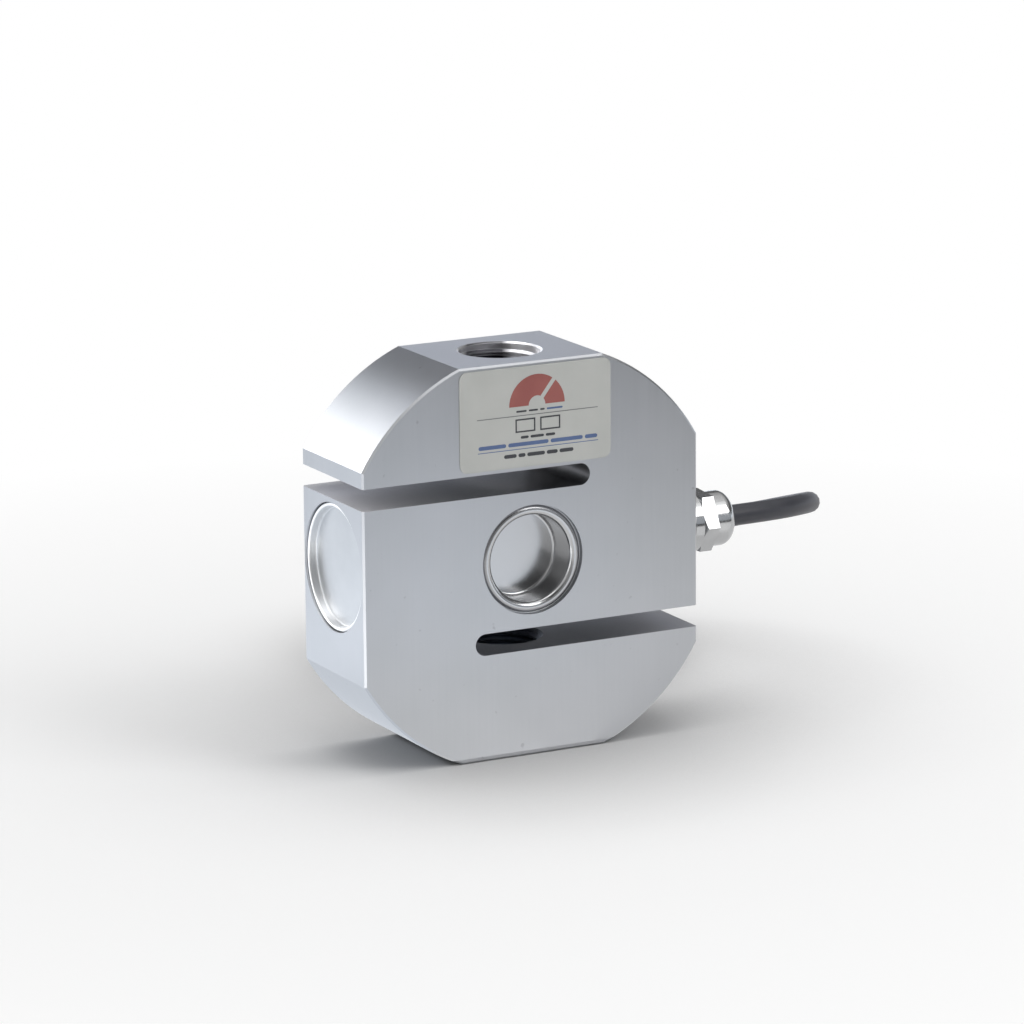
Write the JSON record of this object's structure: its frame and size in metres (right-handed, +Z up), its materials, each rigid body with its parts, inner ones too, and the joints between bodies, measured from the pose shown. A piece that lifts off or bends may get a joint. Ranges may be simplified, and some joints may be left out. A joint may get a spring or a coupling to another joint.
{
  "type": "s type load cell",
  "caption": "S-beam force sensor: a slotted steel body with threaded load holes, sealed gauge cavities, a side pocket cap, a cable gland and a coiled cable.",
  "frame": {"origin": "centre of the base face, where the lower threaded hole opens", "axes": "+Z up the load axis through both threaded holes, +X out of the cable gland, +Y from the front face to the rear face"},
  "size_m": [0.1822, 0.1595, 0.118],
  "materials": {
    "body_steel": "fine ground stainless steel",
    "cup_steel": "polished drawn stainless sheet",
    "gland_metal": "nickel plated",
    "seal_rubber": "matte",
    "cable_jacket": "satin",
    "sleeve_plastic": "shrunk, matte",
    "tie_strap": "woven",
    "label_plate": "satin printed film",
    "gauge_film": "translucent polyimide",
    "gauge_foil": "etched foil",
    "solder": "bright solder",
    "board_laminate": "solder mask",
    "component_black": "matte",
    "spacer_nylon": "satin",
    "lead_insulation": "satin",
    "core_red": "satin",
    "core_black": "satin",
    "core_green": "satin",
    "core_white": "satin",
    "tinned_copper": "twisted bare strand"
  },
  "bodies": {
    "root": {"sensing_body": "body_steel", "front_cup": "cup_steel", "rear_cup": "cup_steel", "side_cap": "cup_steel", "gauge_film_front": "gauge_film", "gauge_film_rear": "gauge_film", "gauge_grids_front": "gauge_foil", "gauge_grids_rear": "gauge_foil", "solder_tabs_front": "solder", "solder_tabs_rear": "solder", "gauge_leads_front": "lead_insulation", "gauge_leads_rear": "lead_insulation", "supply_harness": "lead_insulation", "trim_board": "board_laminate", "trim_resistors": "component_black", "board_pads": "solder", "board_spacer_1": "spacer_nylon", "board_spacer_2": "spacer_nylon", "board_spacer_3": "spacer_nylon", "gland_washer": "seal_rubber", "gland_body": "gland_metal", "gland_seal": "seal_rubber", "gland_nut": "gland_metal", "rating_label": "label_plate", "cable_entry": "cable_jacket", "cable": "cable_jacket", "cable_coil": "cable_jacket", "coil_tie": "tie_strap", "cable_tail": "cable_jacket", "end_sleeve": "sleeve_plastic", "core_white": "core_white", "core_green": "core_green", "drain_wire": "tinned_copper", "core_black": "core_black", "core_red": "core_red"}
  },
  "joints": []
}
